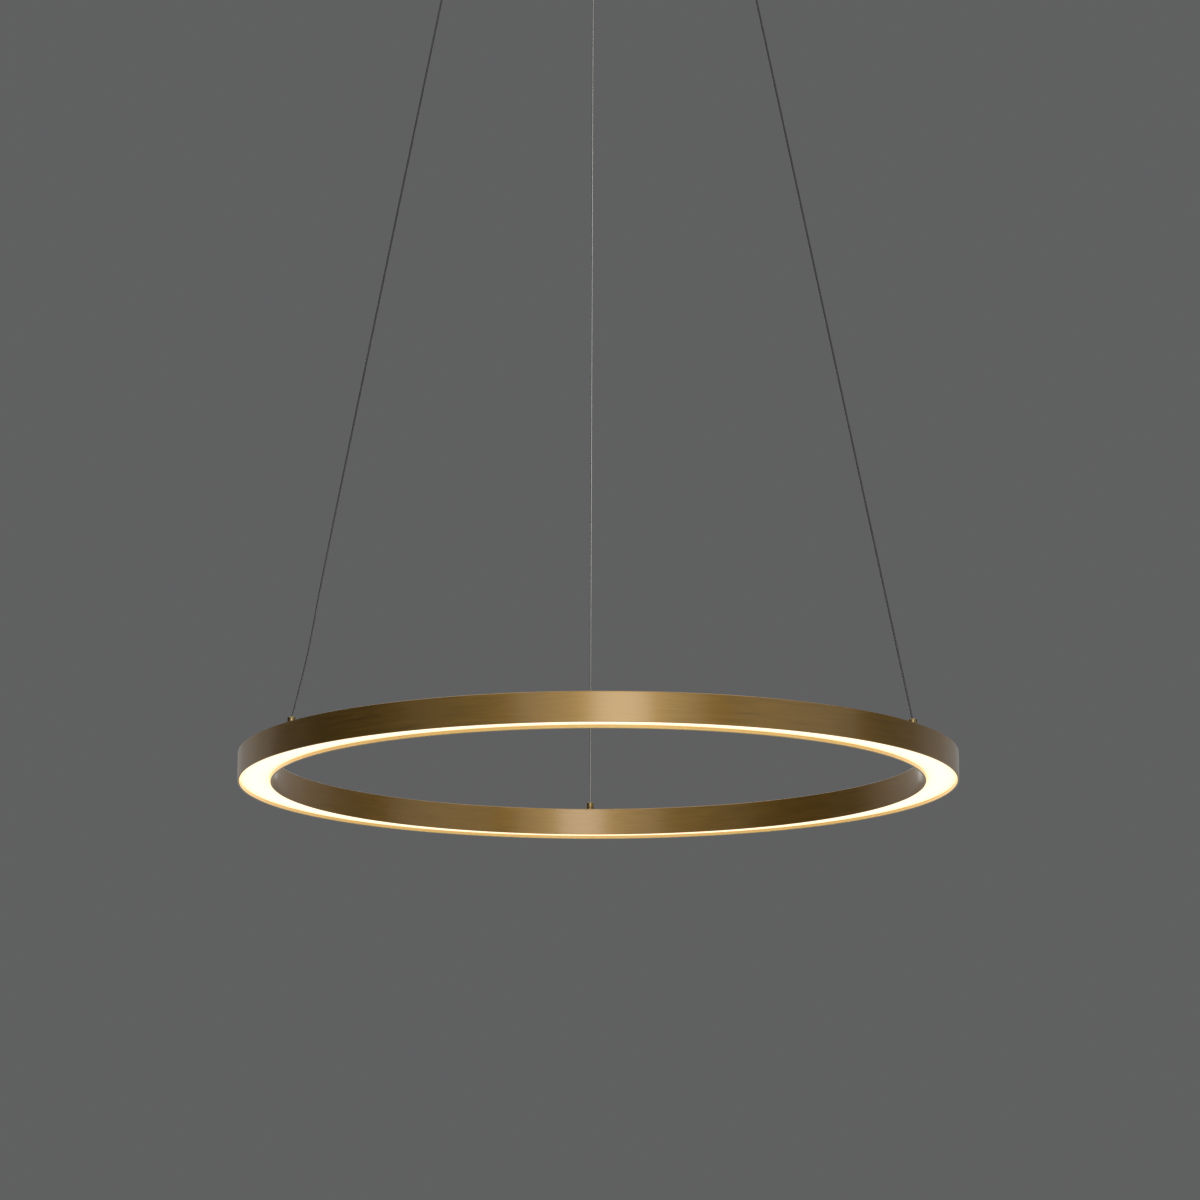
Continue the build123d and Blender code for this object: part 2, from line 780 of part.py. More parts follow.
def output_leads():
    """The driver's two outputs, each to the tail of one wire."""
    tail = feed_place()
    points = [(driver_length / 2 - lead_inside, tail.Y, lead_z), (tail.X, tail.Y, lead_z), tuple(tail)]
    feed = wire_along(points, tail_lead_bend, lead_radius)[0]
    tail = return_place()
    points = [
        (output_x, driver_side_y - lead_inside, lead_z),
        (output_x, output_corner_y, lead_z),
        (output_corner_x, tail.Y, lead_z),
        (tail.X, tail.Y, lead_z),
        tuple(tail),
    ]
    back = wire_along(points, [2 * lead_bend, lead_bend, tail_lead_bend], lead_radius)[0]
    return [feed, back]


def earth_tag():
    """The ring tag under the earth screw, with its crimped barrel."""
    low = plate_z - earth_tag_thickness
    tag = rod(earth_tag_radius, low, plate_z)
    neck_length = earth_tag_radius + earth_barrel_length / 2
    tag += Pos(0, 0, low) * Box(neck_length, 2 * earth_barrel_radius, earth_tag_thickness,
                                align=(Align.MIN, Align.CENTER, Align.MIN))
    barrel = Pos(earth_tag_radius, 0, plate_z - earth_barrel_radius) * Rot(0, 90, 0) * Cylinder(
        earth_barrel_radius, earth_barrel_length, align=STANDING)
    tag += barrel
    tag -= rod(earth_screw_shank + canopy_screw_play, low, plate_z)
    return Pos(earth_screw_x, pole_ys[-1], 0) * tag


def earth_screw():
    screw = hanging_screw(earth_screw_shank, earth_screw_head_radius, earth_screw_head_height,
                          plate_z - earth_tag_thickness, -plate_screw_short)
    return Pos(earth_screw_x, pole_ys[-1], 0) * screw


def earth_lead():
    """From the earth pole up to the tag on the plate."""
    y = pole_ys[-1]
    barrel_end = earth_screw_x + earth_tag_radius + earth_barrel_length
    barrel_z = plate_z - earth_barrel_radius
    step = (-terminal_length / 2 - barrel_end) / 3
    points = [
        (-terminal_screw_x, y, lead_z),
        (-terminal_length / 2 - step, y, lead_z),
        (-terminal_length / 2 - 2 * step, y, barrel_z),
        (barrel_end, y, barrel_z),
    ]
    return wire_along(points, earth_bend, lead_radius)[0]


# The nodes

os.makedirs("parts", exist_ok=True)

save("ring_channel", ring_channel())
save("diffuser", diffuser())
save("led_chips", *led_chips())
save("board_screws", *board_screws())
at_nipples = [around(angle, ring_middle_radius) for angle in hanger_angles]
at_grippers = [around(angle, exit_circle_radius) for angle in hanger_angles]
save("nipple_bushes", *[place * nipple_bush() for place in at_nipples])
save("nipple_washers", *[place * nipple_washer() for place in at_nipples])
save("nipple_nuts", *[place * nipple_nut() for place in at_nipples])
save("feed_leads", *[place * feed_lead() for place in (at_nipples[0], at_nipples[-1])])
jumpers = [board_jumper(side * jumper_offset) for side in (-1, 1)]
save("board_jumpers", *[place * jumper for place in at_nipples for jumper in jumpers])

for number, angle in enumerate(hanger_angles, start=1):
    at_nipple = at_nipples[number - 1]
    at_gripper = at_grippers[number - 1]
    save(f"led_board_{number}", led_board(number - 1))
    save(f"wire_nipple_{number}", at_nipple * wire_nipple())
    save(f"wire_stop_{number}", at_nipple * wire_stop())
    save(f"suspension_wire_{number}", Rot(0, 0, angle) * suspension_wire())
    save(f"gripper_housing_{number}", at_gripper * gripper_housing())
    save(f"gripper_stem_{number}", at_gripper * gripper_stem())
    save(f"gripper_plunger_{number}", at_gripper * gripper_plunger())
    save(f"gripper_balls_{number}", *[at_gripper * ball for ball in gripper_balls()])
    save(f"gripper_spring_{number}", at_gripper * gripper_spring())

save("gripper_bushes", *[place * gripper_bush() for place in at_grippers])
save("gripper_washers", *[place * gripper_washer() for place in at_grippers])
save("gripper_nuts", *[place * gripper_nut() for place in at_grippers])
save("tail_sleeves", *[place * tail_sleeve() for place in at_grippers])
save("canopy_cover", canopy_cover())
save("ceiling_plate", ceiling_plate())
save("canopy_screws", *[Rot(0, 0, angle) * canopy_screw() for angle in tab_angles()])
save("driver_case", driver_case())
save("driver_lid", driver_lid())
save("driver_board", driver_board())
save("driver_transformer", driver_transformer())
save("driver_capacitors", *driver_capacitors())
save("terminal_block", terminal_block())
save("terminal_screws", *terminal_screws())
save("plate_screws", *plate_screws())
save("mains_leads", *mains_leads())
save("output_leads", *output_leads())
save("earth_tag", earth_tag())
save("earth_screw", earth_screw())
save("earth_lead", earth_lead())
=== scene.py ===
import bpy
import json
import math
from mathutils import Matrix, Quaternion, Vector


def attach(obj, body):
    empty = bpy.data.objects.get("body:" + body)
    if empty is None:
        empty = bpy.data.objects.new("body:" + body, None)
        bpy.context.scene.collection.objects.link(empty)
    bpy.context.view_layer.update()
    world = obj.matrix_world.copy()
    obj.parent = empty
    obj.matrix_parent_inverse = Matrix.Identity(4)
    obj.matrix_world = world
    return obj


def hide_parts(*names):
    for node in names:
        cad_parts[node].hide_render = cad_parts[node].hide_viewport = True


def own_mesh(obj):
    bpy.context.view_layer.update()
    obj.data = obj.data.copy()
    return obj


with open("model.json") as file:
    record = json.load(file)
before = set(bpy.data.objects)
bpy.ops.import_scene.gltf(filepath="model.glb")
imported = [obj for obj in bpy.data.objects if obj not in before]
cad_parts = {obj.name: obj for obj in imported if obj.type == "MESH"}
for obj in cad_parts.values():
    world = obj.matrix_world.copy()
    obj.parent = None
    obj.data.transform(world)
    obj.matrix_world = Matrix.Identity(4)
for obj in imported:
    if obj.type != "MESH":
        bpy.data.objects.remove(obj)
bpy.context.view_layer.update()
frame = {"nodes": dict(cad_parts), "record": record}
nodes = frame["nodes"]

# Ring and diffuser, in metres, Z up, origin on the ceiling above the ring's centre
HANG_HEIGHT = 0.9770
RING_OUTER = 0.3000
RING_WIDTH = 0.0287
RING_HEIGHT = 0.0235
RING_WALL = 0.0015
RING_WEB = 0.0025
TOP_ROUND = 0.0005
LIP_ROUND = 0.0003
RIB_HEIGHT = 0.0010
RIB_DEPTH = 0.0008
DIFFUSER_RECESS = 0.0027
DIFFUSER_THICKNESS = 0.0020
DIFFUSER_PLAY = 0.00015
DIFFUSER_ROUND = 0.0002
CLIP_THICKNESS = 0.0010
CLIP_BARB = 0.0006
CLIP_PLAY = 0.0001
RING_INNER = RING_OUTER - RING_WIDTH
RING_MIDDLE = RING_OUTER - RING_WIDTH / 2
RING_BOTTOM = -HANG_HEIGHT
RING_TOP = RING_BOTTOM + RING_HEIGHT
WEB_LOW = RING_TOP - RING_WEB
DIFFUSER_LOW = RING_BOTTOM + DIFFUSER_RECESS
DIFFUSER_HIGH = DIFFUSER_LOW + DIFFUSER_THICKNESS
RIB_LOW = DIFFUSER_HIGH + CLIP_PLAY
RIB_HIGH = RIB_LOW + RIB_HEIGHT
CLIP_BARB_LOW = RIB_HIGH + CLIP_PLAY
CLIP_TOP = CLIP_BARB_LOW + CLIP_THICKNESS

# Nipples
HANGER_ANGLES = (90.0, 210.0, 330.0)
WIRE_RADIUS = 0.0009
WIRE_PLAY = 0.0002
NIPPLE_RADIUS = 0.0035
NIPPLE_HEIGHT = 0.0072
NIPPLE_STEM_RADIUS = 0.0020
NIPPLE_STEM_LENGTH = 0.0081
NIPPLE_STEM_ROUND = 0.0003
NIPPLE_FOOT_ROUND = 0.0002
NIPPLE_RIM_ROUND = 0.0006
NIPPLE_BUSH_FLANGE = 0.0008
NIPPLE_GROOVE_DEPTH = 0.00025
NIPPLE_GROOVE_HEIGHTS = (0.0016, 0.0026)
NIPPLE_MOUTH_FLARE = 0.0008
NIPPLE_MOUTH_DEPTH = 0.0016
NIPPLE_MOUTH_ROUND = 0.0003
NIPPLE_BORE = WIRE_RADIUS + WIRE_PLAY
NIPPLE_FOOT = RING_TOP + NIPPLE_BUSH_FLANGE
NIPPLE_TOP = NIPPLE_FOOT + NIPPLE_HEIGHT
NIPPLE_END = NIPPLE_FOOT - NIPPLE_STEM_LENGTH

# Wires: the CAD wire bends above its nipple, and the wire seen here in the nipple's mouth
WIRE_STOP_LENGTH = 0.0040
WIRE_MOUTH_DEPTH = 0.0020
WIRE_BORE_DEPTH = 0.0065
EXIT_CIRCLE = 0.1050
WIRE_TOP = -0.0180
WIRE_UPPER_BEND = -0.0620
WIRE_MOUTH_BEND = NIPPLE_TOP - WIRE_MOUTH_DEPTH
WIRE_IN_BORE = NIPPLE_TOP - WIRE_BORE_DEPTH
WIRE_END = NIPPLE_END - WIRE_STOP_LENGTH
BESIDE_BEND = 6 * 2 * WIRE_RADIUS
ROPE_STRANDS = 6
ROPE_SIDES = 24
ROPE_LAY = 0.014
ROPE_STEP = 0.0011
STRAND_BULGE = 0.03
SPLINE_STEPS = 160

# Points that bow each wire, as distance up its run from the nipple and distance inwards
WIRE_BOWS = ((), ((0.130, 0.0004), (0.060, 0.0030)), ())

# Fineness of the meshes
RING_SEGMENTS = 512
SMALL_SEGMENTS = 64
ARC_STEPS = 5
BESIDE_ARC = 0.4
SHARP_ANGLE = math.radians(40)


# Meshes


def add_object(name, data):
    """A new object in the scene."""
    made = bpy.data.objects.new(name, data)
    bpy.context.scene.collection.objects.link(made)
    return made


def mesh_piece(name, points, faces, body, slot, stands_for):
    """A smooth mesh that stands for a CAD node, with its sharp corners kept sharp."""
    mesh = bpy.data.meshes.new(name)
    mesh.from_pydata(points, [], faces)
    mesh.validate()
    mesh.shade_smooth()
    mesh.set_sharp_from_angle(angle=SHARP_ANGLE)
    mesh.materials.append(finishes[slot])
    piece = add_object(name, mesh)
    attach(piece, body)
    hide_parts(stands_for)
    return piece


def rounded(corners):
    """A closed section from (radius, height, rounding) corners, with a point just beside each arc's ends."""
    outline = []
    count = len(corners)
    for i, (r, z, bend) in enumerate(corners):
        here = Vector((r, z))
        if bend == 0:
            outline.append(here)
            continue
        before = (Vector(corners[i - 1][:2]) - here).normalized()
        after = (Vector(corners[(i + 1) % count][:2]) - here).normalized()
        half = before.angle(after) / 2
        reach = bend / math.tan(half)
        start, end = here + before * reach, here + after * reach
        centre = here + (before + after).normalized() * (bend / math.sin(half))
        outline.append(start + before * bend * BESIDE_ARC)
        turn = math.pi - 2 * half
        for k in range(ARC_STEPS + 1):
            share = k / ARC_STEPS
            a = math.sin((1 - share) * turn) / math.sin(turn)
            b = math.sin(share * turn) / math.sin(turn)
            outline.append(centre + (start - centre) * a + (end - centre) * b)
        outline.append(end + after * bend * BESIDE_ARC)
    return outline


def turned(name, outline, segments, body, slot, stands_for, place=(0.0, 0.0)):
    """A closed section turned about an upright axis."""
    points, faces = [], []
    count = len(outline)
    for s in range(segments):
        angle = 2 * math.pi * s / segments
        for r, z in outline:
            points.append((place[0] + r * math.cos(angle), place[1] + r * math.sin(angle), z))
    for s in range(segments):
        here, there = s * count, ((s + 1) % segments) * count
        for i in range(count):
            j = (i + 1) % count
            faces.append((here + i, there + i, there + j, here + j))
    return mesh_piece(name, points, faces, body, slot, stands_for)


# Materials


class Shader:
    """A procedural material with short calls for its nodes."""

    def __init__(self, name, **values):
        self.material = bpy.data.materials.new(name)
        self.material.use_nodes = True
        self.tree = self.material.node_tree
        self.bsdf = self.tree.nodes["Principled BSDF"]
        for key, value in values.items():
            self.bsdf.inputs[key.replace("_", " ").title().replace("Ior", "IOR")].default_value = value

    def node(self, kind, **settings):
        made = self.tree.nodes.new("ShaderNode" + kind)
        for key, value in settings.items():
            setattr(made, key, value)
        return made

    def link(self, source, target):
        self.tree.links.new(source, target)

    def math(self, operation, a, b=0.0):
        made = self.node("Math", operation=operation)
        for socket, value in zip(made.inputs, (a, b)):
            if isinstance(value, (int, float)):
                socket.default_value = value
            else:
                self.link(value, socket)
        return made.outputs[0]

    def vector_math(self, operation, *vectors):
        made = self.node("VectorMath", operation=operation)
        for socket, vector in zip(made.inputs, vectors):
            self.link(vector, socket)
        return made.outputs["Value" if operation == "LENGTH" else "Vector"]

    def scaled(self, vector, factor):
        made = self.node("VectorMath", operation="SCALE")
        made.inputs["Scale"].default_value = factor
        self.link(vector, made.inputs[0])
        return made.outputs["Vector"]

    def vector(self, **parts):
        made = self.node("CombineXYZ")
        for axis, value in parts.items():
            self.link(value, made.inputs[axis.upper()])
        return made.outputs[0]

    def place(self):
        return self.node("TexCoord").outputs["Object"]

    def axes(self):
        """The place's X, Y and Z."""
        made = self.node("SeparateXYZ")
        self.link(self.place(), made.inputs[0])
        return tuple(made.outputs)

    def about_axis(self):
        """The level vector from the lamp's axis to the place, its length, and the place's height."""
        x, y, height = self.axes()
        level = self.vector(x=x, y=y)
        return level, self.vector_math("LENGTH", level), height

    def off_ring_middle(self, distance):
        """How far a distance from the lamp's axis is from the middle of the ring's width."""
        return self.math("ABSOLUTE", self.math("SUBTRACT", distance, RING_MIDDLE))

    def noise(self, vector, scale, detail=3.0, rough=0.55, w=None):
        made = self.node("TexNoise", noise_dimensions="4D" if w is not None else "3D")
        made.inputs["Scale"].default_value = scale
        made.inputs["Detail"].default_value = detail
        made.inputs["Roughness"].default_value = rough
        self.link(vector, made.inputs["Vector"])
        if w is not None:
            self.link(w, made.inputs["W"])
        return made.outputs["Fac"]

    def mixed(self, a, b, share):
        """A share of the first value and the rest of the second."""
        return self.math("ADD", self.math("MULTIPLY", a, share), self.math("MULTIPLY", b, 1.0 - share))

    def spread(self, value, low, high, source=(0.3, 0.7)):
        made = self.node("MapRange")
        for key, number in zip(("From Min", "From Max", "To Min", "To Max"), (*source, low, high)):
            made.inputs[key].default_value = number
        self.link(value, made.inputs["Value"])
        return made.outputs["Result"]

    def tones(self, value, *stops, target="Base Color"):
        """One of the surface's colours, from a value by way of (place, colour) stops."""
        made = self.node("ValToRGB")
        elements = made.color_ramp.elements
        while len(elements) < len(stops):
            elements.new(0.5)
        for element, (where, colour) in zip(elements, stops):
            element.position = where
            element.color = (*colour, 1.0)
        self.link(value, made.inputs["Fac"])
        self.link(made.outputs["Color"], self.bsdf.inputs[target])

    def instead(self, colour, where):
        """Another base colour where a value is 1."""
        made = self.node("Mix", data_type="RGBA")
        base = self.bsdf.inputs["Base Color"]
        self.link(where, made.inputs["Factor"])
        self.link(base.links[0].from_socket, made.inputs["A"])
        made.inputs["B"].default_value = (*colour, 1.0)
        self.link(made.outputs["Result"], base)

    def roughness(self, value):
        self.link(value, self.bsdf.inputs["Roughness"])

    def rough_about(self, middle, value):
        """A roughness that a value moves a little to both sides."""
        self.roughness(self.spread(value, middle - SMOOTHER, middle + ROUGHER))

    def bump(self, value, strength, distance):
        made = self.node("Bump")
        made.inputs["Strength"].default_value = strength
        made.inputs["Distance"].default_value = distance
        self.link(value, made.inputs["Height"])
        self.link(made.outputs["Normal"], self.bsdf.inputs["Normal"])


def tint(colour, factor):
    return tuple(min(1.0, c * factor) for c in colour)


# Colours, with the diffuser's glow as stops from the middle of its width to its edges
BRASS = (0.565, 0.318, 0.052)
# Painted light: a paler brass for the ring's lips and inner walls, standing in for the diffuser's warm glow
# that lights them
PAINTED_GLOW_BRASS = (0.56, 0.45, 0.17)
NIPPLE_BRASS = (0.52, 0.38, 0.17)
OPAL = (0.88, 0.85, 0.78)
GLOW = ((0.0, (1.0, 0.72, 0.45)), (0.62, (0.98, 0.68, 0.40)), (0.90, (0.84, 0.50, 0.22)))

# Fineness of the finishes, in grains to a metre, and that of a plain finish's clouds against its grain
COARSE_BRUSHING = 420.0
FINE_BRUSHING = 2200.0
TOOL_LINES = 3500.0
BRASS_CLOUD = 260.0
OPAL_CLOUD = 60.0
CLOUD_TO_GRAIN = 0.06

# How far a finish's roughness goes to both sides of its middle
SMOOTHER = 0.06
ROUGHER = 0.08


def brushed_round_z(name, colour, streak, inside=None):
    """Metal brushed in long fine streaks round the lamp's axis; where given, a paler brass inside the ring
    paints in the diffuser's glow on the lips and inner walls.
    """
    s = Shader(name, metallic=1.0, anisotropic=0.45, anisotropic_rotation=0.25,
               coat_weight=1.0, coat_roughness=0.19, coat_ior=1.8)
    level, distance, height = s.about_axis()
    along = s.scaled(s.vector_math("NORMALIZE", level), streak)

    def grain(fineness, detail):
        up = s.vector(z=s.math("MULTIPLY", height, fineness))
        across = s.math("MULTIPLY", distance, fineness)
        return s.noise(s.vector_math("ADD", along, up), scale=1.0, detail=detail, rough=0.62, w=across)

    coarse, fine = grain(COARSE_BRUSHING, detail=3.0), grain(FINE_BRUSHING, detail=2.0)
    both = s.mixed(coarse, fine, share=0.5)
    s.tones(both, (0.30, tint(colour, 0.80)), (0.52, colour), (0.72, tint(colour, 1.12)))
    # Painted light: the paler brass goes on the inner walls and the inner half of each lip, where the
    # diffuser's glow falls
    if inside:
        between_walls = s.math("LESS_THAN", s.off_ring_middle(distance), (RING_WIDTH - RING_WALL) / 2)
        below_web = s.math("LESS_THAN", height, WEB_LOW)
        s.instead(inside, s.math("MULTIPLY", between_walls, below_web))
    s.roughness(s.spread(both, 0.38, 0.52))
    s.bump(fine, strength=0.10, distance=0.00005)
    tangent = s.node("Tangent", direction_type="RADIAL", axis="Z")
    s.link(tangent.outputs[0], s.bsdf.inputs["Tangent"])
    return s.material


def turned_metal(name, colour, rough):
    """Metal with fine tool lines round an upright axis."""
    s = Shader(name, metallic=1.0)
    _, _, height = s.axes()
    tool = s.noise(s.vector(z=s.math("MULTIPLY", height, TOOL_LINES)), scale=1.0, detail=2.0)
    cloud = s.noise(s.place(), BRASS_CLOUD)
    s.tones(cloud, (0.30, tint(colour, 0.86)), (0.70, tint(colour, 1.08)))
    s.rough_about(rough, tool)
    s.bump(tool, strength=0.15, distance=0.00004)
    return s.material


def speckled(name, colour, scale, rough, metallic=0.0):
    """A plain finish with a fine grain and small changes of tone."""
    s = Shader(name, metallic=metallic)
    grain = s.noise(s.place(), scale, detail=4.0)
    cloud = s.noise(s.place(), scale * CLOUD_TO_GRAIN, detail=2.0)
    both = s.mixed(grain, cloud, share=0.4)
    s.tones(both, (0.32, tint(colour, 0.88)), (0.50, colour), (0.68, tint(colour, 1.08)))
    s.rough_about(rough, grain)
    s.bump(grain, strength=0.2, distance=0.00003)
    return s.material


def glowing_opal(name):
    """Satin opal sheet, lit warm from inside, brightest along its middle and faintly cloudy."""
    s = Shader(name, base_color=(*OPAL, 1.0), emission_strength=1.4)
    cloud = s.noise(s.place(), OPAL_CLOUD)
    _, distance, _ = s.about_axis()
    from_middle_to_edge = s.math("MULTIPLY", s.off_ring_middle(distance), 2 / RING_WIDTH)
    uneven = s.math("ADD", from_middle_to_edge, s.spread(cloud, -0.02, 0.02))
    s.tones(uneven, *GLOW, target="Emission Color")
    s.roughness(s.spread(cloud, 0.42, 0.52))
    return s.material


# Plain finishes: colour, grains to a metre, roughness and, for the metals, 1.0
SPECKLED = {
    "wire_steel": ((0.46, 0.455, 0.435), 2400.0, 0.13, 1.0),
    "zinc_steel": ((0.62, 0.63, 0.64), 700.0, 0.38, 1.0),
    "tinned_copper": ((0.70, 0.69, 0.66), 1500.0, 0.34, 1.0),
    "nylon": ((0.80, 0.78, 0.72), 900.0, 0.46),
    "driver_shell": ((0.86, 0.86, 0.84), 1600.0, 0.50),
    "circuit_board": ((0.10, 0.32, 0.16), 300.0, 0.38),
    "ferrite": ((0.07, 0.07, 0.08), 1200.0, 0.62),
    "capacitor_sleeve": ((0.05, 0.06, 0.09), 500.0, 0.26),
    "terminal_plastic": ((0.84, 0.82, 0.76), 1100.0, 0.48),
    "led_board_white": ((0.86, 0.86, 0.84), 600.0, 0.40),
    "phosphor": ((0.90, 0.72, 0.22), 2600.0, 0.44),
    "mains_sheath": ((0.30, 0.16, 0.08), 800.0, 0.45),
    "output_sheath": ((0.45, 0.07, 0.05), 800.0, 0.45),
    "earth_sheath": ((0.30, 0.50, 0.10), 800.0, 0.45),
    "ring_sheath": ((0.80, 0.80, 0.78), 800.0, 0.50),
}
finishes = {
    "brushed_ring": brushed_round_z("brushed_ring", BRASS, streak=9.0, inside=PAINTED_GLOW_BRASS),
    "canopy_metal": brushed_round_z("canopy_metal", BRASS, streak=6.0),
    "turned_brass": turned_metal("turned_brass", NIPPLE_BRASS, rough=0.25),
    "opal": glowing_opal("opal"),
}
for slot, values in SPECKLED.items():
    finishes[slot] = speckled(slot, *values)
for row in frame["record"]["subparts"]:
    mesh = nodes[row["node"]].data
    mesh.materials.clear()
    mesh.materials.append(finishes[row["material_slot"]])


# Ring and diffuser


def ring_section():
    """The U of the ring, open below, with a rib on each wall."""
    left, right = RING_INNER + RING_WALL, RING_OUTER - RING_WALL
    return rounded([
        (RING_OUTER, RING_BOTTOM, LIP_ROUND), (RING_OUTER, RING_TOP, TOP_ROUND),
        (RING_INNER, RING_TOP, TOP_ROUND), (RING_INNER, RING_BOTTOM, LIP_ROUND),
        (left, RING_BOTTOM, LIP_ROUND), (left, RIB_LOW, 0),
        (left + RIB_DEPTH, RIB_LOW, 0), (left + RIB_DEPTH, RIB_HIGH, 0),
        (left, RIB_HIGH, 0), (left, WEB_LOW, 0),
        (right, WEB_LOW, 0), (right, RIB_HIGH, 0),
        (right - RIB_DEPTH, RIB_HIGH, 0), (right - RIB_DEPTH, RIB_LOW, 0),
        (right, RIB_LOW, 0), (right, RING_BOTTOM, LIP_ROUND),
    ])


def diffuser_section():
    """A flat strip with a barbed clip standing near each edge."""
    left, right = RING_INNER + RING_WALL + DIFFUSER_PLAY, RING_OUTER - RING_WALL - DIFFUSER_PLAY
    clip_left, clip_right = left + RIB_DEPTH, right - RIB_DEPTH
    return rounded([
        (right, DIFFUSER_LOW, DIFFUSER_ROUND), (right, DIFFUSER_HIGH, 0),
        (clip_right, DIFFUSER_HIGH, 0), (clip_right, CLIP_BARB_LOW, 0),
        (clip_right + CLIP_BARB, CLIP_BARB_LOW, 0), (clip_right + CLIP_BARB, CLIP_TOP, 0),
        (clip_right - CLIP_THICKNESS, CLIP_TOP, 0), (clip_right - CLIP_THICKNESS, DIFFUSER_HIGH, 0),
        (clip_left + CLIP_THICKNESS, DIFFUSER_HIGH, 0), (clip_left + CLIP_THICKNESS, CLIP_TOP, 0),
        (clip_left - CLIP_BARB, CLIP_TOP, 0), (clip_left - CLIP_BARB, CLIP_BARB_LOW, 0),
        (clip_left, CLIP_BARB_LOW, 0), (clip_left, DIFFUSER_HIGH, 0),
        (left, DIFFUSER_HIGH, 0), (left, DIFFUSER_LOW, DIFFUSER_ROUND),
    ])


turned("ring_shell", ring_section(), RING_SEGMENTS, "ring", "brushed_ring", "ring_channel")
turned("diffuser_strip", diffuser_section(), RING_SEGMENTS, "ring", "opal", "diffuser")


# Nipples, wires and gripper springs


def nipple_section():
    """A small turned nipple: a stem, and a head with two fine grooves and a flared mouth for the wire."""
    corners = [
        (NIPPLE_BORE, NIPPLE_END, 0), (NIPPLE_STEM_RADIUS, NIPPLE_END, NIPPLE_STEM_ROUND),
        (NIPPLE_STEM_RADIUS, NIPPLE_FOOT, 0), (NIPPLE_RADIUS, NIPPLE_FOOT, NIPPLE_FOOT_ROUND),
    ]
    for height in NIPPLE_GROOVE_HEIGHTS:
        low = NIPPLE_FOOT + height
        corners += [
            (NIPPLE_RADIUS, low, 0),
            (NIPPLE_RADIUS - NIPPLE_GROOVE_DEPTH, low + NIPPLE_GROOVE_DEPTH, 0),
            (NIPPLE_RADIUS, low + 2 * NIPPLE_GROOVE_DEPTH, 0),
        ]
    corners += [
        (NIPPLE_RADIUS, NIPPLE_TOP, NIPPLE_RIM_ROUND),
        (NIPPLE_BORE + NIPPLE_MOUTH_FLARE, NIPPLE_TOP, NIPPLE_MOUTH_ROUND),
        (NIPPLE_BORE, NIPPLE_TOP - NIPPLE_MOUTH_DEPTH, 0),
    ]
    return rounded(corners)


def outwards(angle):
    """The level direction out from the lamp's axis at an angle."""
    turn = math.radians(angle)
    return Vector((math.cos(turn), math.sin(turn), 0))


def wire_route(angle, bows):
    """The wire's route: down through its gripper, out to the ring in one long run and into its nipple."""
    out = outwards(angle)

    def at(radius, height):
        return out * radius + Vector((0, 0, height))

    upper, lower = at(EXIT_CIRCLE, WIRE_UPPER_BEND), at(RING_MIDDLE, WIRE_MOUTH_BEND)
    up_the_run = (upper - lower).normalized()
    bowed = [lower + up_the_run * along - out * inwards for along, inwards in bows]
    run = [upper, *bowed, lower]
    below_upper = upper + (run[1] - upper).normalized() * BESIDE_BEND
    above_lower = lower + (run[-2] - lower).normalized() * BESIDE_BEND
    return [
        at(EXIT_CIRCLE, WIRE_TOP), upper, below_upper, *bowed, above_lower, lower,
        at(RING_MIDDLE, WIRE_IN_BORE), at(RING_MIDDLE, WIRE_END),
    ]


def smooth_line(name, route):
    """Points read from the NURBS spline whose control points are the route."""
    curve = bpy.data.curves.new(name, "CURVE")
    curve.dimensions = "3D"
    curve.resolution_u = SPLINE_STEPS
    spline = curve.splines.new("NURBS")
    spline.points.add(len(route) - 1)
    for point, place in zip(spline.points, route):
        point.co = (*place, 1.0)
    spline.order_u = 3
    spline.use_endpoint_u = True
    carrier = bpy.data.objects.new(name, curve)
    mesh = bpy.data.meshes.new_from_object(carrier)
    line = [vertex.co.copy() for vertex in mesh.vertices]
    bpy.data.objects.remove(carrier)
    bpy.data.curves.remove(curve)
    bpy.data.meshes.remove(mesh)
    return line


def spaced(line):
    """Points at even steps along a line, and the line's length."""
    lengths = [0.0]
    for a, b in zip(line, line[1:]):
        lengths.append(lengths[-1] + (b - a).length)
    count = round(lengths[-1] / ROPE_STEP)
    points, k = [], 0
    for i in range(count + 1):
        want = lengths[-1] * i / count
        while k < len(line) - 2 and lengths[k + 1] < want:
            k += 1
        share = (want - lengths[k]) / (lengths[k + 1] - lengths[k])
        points.append(line[k].lerp(line[k + 1], share))
    return points, lengths[-1]


def stranded(name, followed, length, side, stands_for):
    """A rope of strands laid round each other along the points, which lie in a plane square to side."""
    last = len(followed) - 1
    points, faces = [], []
    for i, centre in enumerate(followed):
        way = (followed[min(i + 1, last)] - followed[max(i - 1, 0)]).normalized()
        other = way.cross(side)
        turn = 2 * math.pi * (length * i / last) / ROPE_LAY
        for s in range(ROPE_SIDES):
            angle = 2 * math.pi * s / ROPE_SIDES
            bulge = abs(math.cos((angle - turn) * ROPE_STRANDS / 2))
            radius = WIRE_RADIUS * (1 - STRAND_BULGE + STRAND_BULGE * bulge)
            points.append(centre + (side * math.cos(angle) + other * math.sin(angle)) * radius)
    for i in range(last):
        here, there = i * ROPE_SIDES, (i + 1) * ROPE_SIDES
        for s in range(ROPE_SIDES):
            t = (s + 1) % ROPE_SIDES
            faces.append((here + s, here + t, there + t, there + s))
    faces.append(tuple(reversed(range(ROPE_SIDES))))
    faces.append(tuple(last * ROPE_SIDES + s for s in range(ROPE_SIDES)))
    return mesh_piece(name, points, faces, "canopy", "wire_steel", stands_for)


